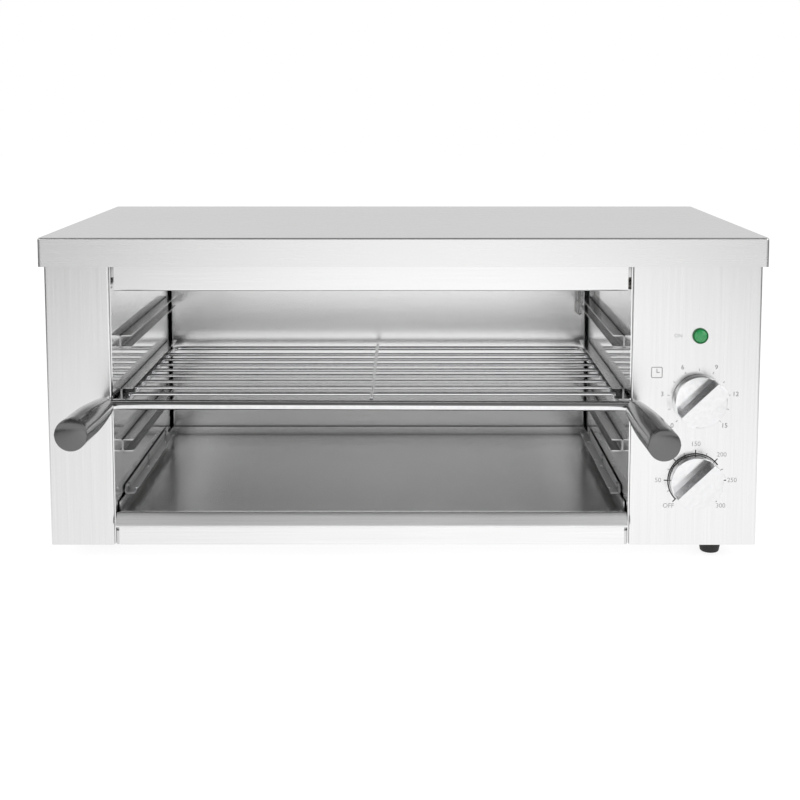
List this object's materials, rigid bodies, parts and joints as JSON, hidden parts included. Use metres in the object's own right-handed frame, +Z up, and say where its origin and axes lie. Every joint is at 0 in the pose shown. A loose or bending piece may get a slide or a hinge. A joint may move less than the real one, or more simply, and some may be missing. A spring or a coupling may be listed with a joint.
{
  "type": "cheese melter",
  "caption": "Open-fronted electric cheese melter: steel casing with a heated cavity, a sliding wire rack with two grips, a crumb tray, and a control column with timer and thermostat.",
  "frame": {"origin": "on the table under the grill, at the centre of the rectangle covered by lid, grips and cable gland", "axes": "+X to the user's right, +Y from the open front to the back, +Z up"},
  "size_m": [0.61, 0.4385, 0.28],
  "materials": {
    "casing_steel": "satin brushed stainless sheet",
    "cavity_steel": "bright annealed stainless sheet",
    "tray_steel": "bright stainless sheet",
    "fastener_steel": "plated steel",
    "element_sheath": "dull oxidised sheath",
    "ceramic_collar": "unglazed ceramic",
    "mineral_blanket": "soft mineral fibre",
    "capillary_copper": "drawn copper tube",
    "lamp_lens": "clear green",
    "moulded_housing": "moulded",
    "knob_metal": "polished",
    "rack_wire": "bright plated wire",
    "grip_plastic": "glossy black phenolic",
    "foot_rubber": "matte",
    "gland_plastic": "moulded nylon"
  },
  "bodies": {
    "housing": {"base_plate": "casing_steel", "cable_gland": "gland_plastic", "cavity_back_wall": "cavity_steel", "cavity_ceiling": "cavity_steel", "cavity_floor": "cavity_steel", "cavity_left_wall": "cavity_steel", "cavity_right_wall": "cavity_steel", "control_screws": "fastener_steel", "element_flanges": "fastener_steel", "element_insulators": "ceramic_collar", "element_support_left": "cavity_steel", "element_support_right": "cavity_steel", "element_terminals": "fastener_steel", "foot_front_left": "foot_rubber", "foot_front_right": "foot_rubber", "foot_nuts": "fastener_steel", "foot_rear_left": "foot_rubber", "foot_rear_right": "foot_rubber", "foot_screws": "fastener_steel", "gland_nut": "gland_plastic", "heating_element_front": "element_sheath", "heating_element_rear": "element_sheath", "insulation_blanket": "mineral_blanket", "left_side_casing": "casing_steel", "lower_front_fascia": "casing_steel", "pilot_lamp_body": "moulded_housing", "pilot_lamp_lens": "lamp_lens", "rear_panel": "casing_steel", "rear_screws": "fastener_steel", "right_control_casing": "casing_steel", "runner_left_1": "cavity_steel", "runner_left_2": "cavity_steel", "runner_left_3": "cavity_steel", "runner_right_1": "cavity_steel", "runner_right_2": "cavity_steel", "runner_right_3": "cavity_steel", "terminal_block": "moulded_housing", "thermostat_body": "moulded_housing", "thermostat_sensor": "capillary_copper", "timer_body": "moulded_housing", "top_cover": "casing_steel", "tray_rail_left": "cavity_steel", "tray_rail_right": "cavity_steel", "tray_rail_rivets": "fastener_steel", "upper_front_fascia": "casing_steel"},
    "rack": {"rack_wire_grid": "rack_wire", "rack_front_bar": "rack_wire", "rack_grip_left": "grip_plastic", "rack_grip_right": "grip_plastic"},
    "tray": {"crumb_tray": "tray_steel"},
    "timer_control": {"timer_knob": "knob_metal", "timer_spindle": "fastener_steel"},
    "thermostat_control": {"thermostat_knob": "knob_metal", "thermostat_spindle": "fastener_steel"}
  },
  "joints": [
    {"name": "rack_slide", "type": "slide", "parent": "housing", "child": "rack", "axis": [0, -1, 0], "range_m": [0, 0.262]},
    {"name": "tray_slide", "type": "slide", "parent": "housing", "child": "tray", "axis": [0, -1, 0], "range_m": [0, 0.275]},
    {"name": "timer_turn", "type": "hinge", "parent": "housing", "child": "timer_control", "pos_m": [0.2497, -0.093, 0.1417], "axis": [0, 1, 0], "range_deg": [0, 270]},
    {"name": "thermostat_turn", "type": "hinge", "parent": "housing", "child": "thermostat_control", "pos_m": [0.248, -0.093, 0.0721], "axis": [0, 1, 0], "range_deg": [0, 270]}
  ]
}
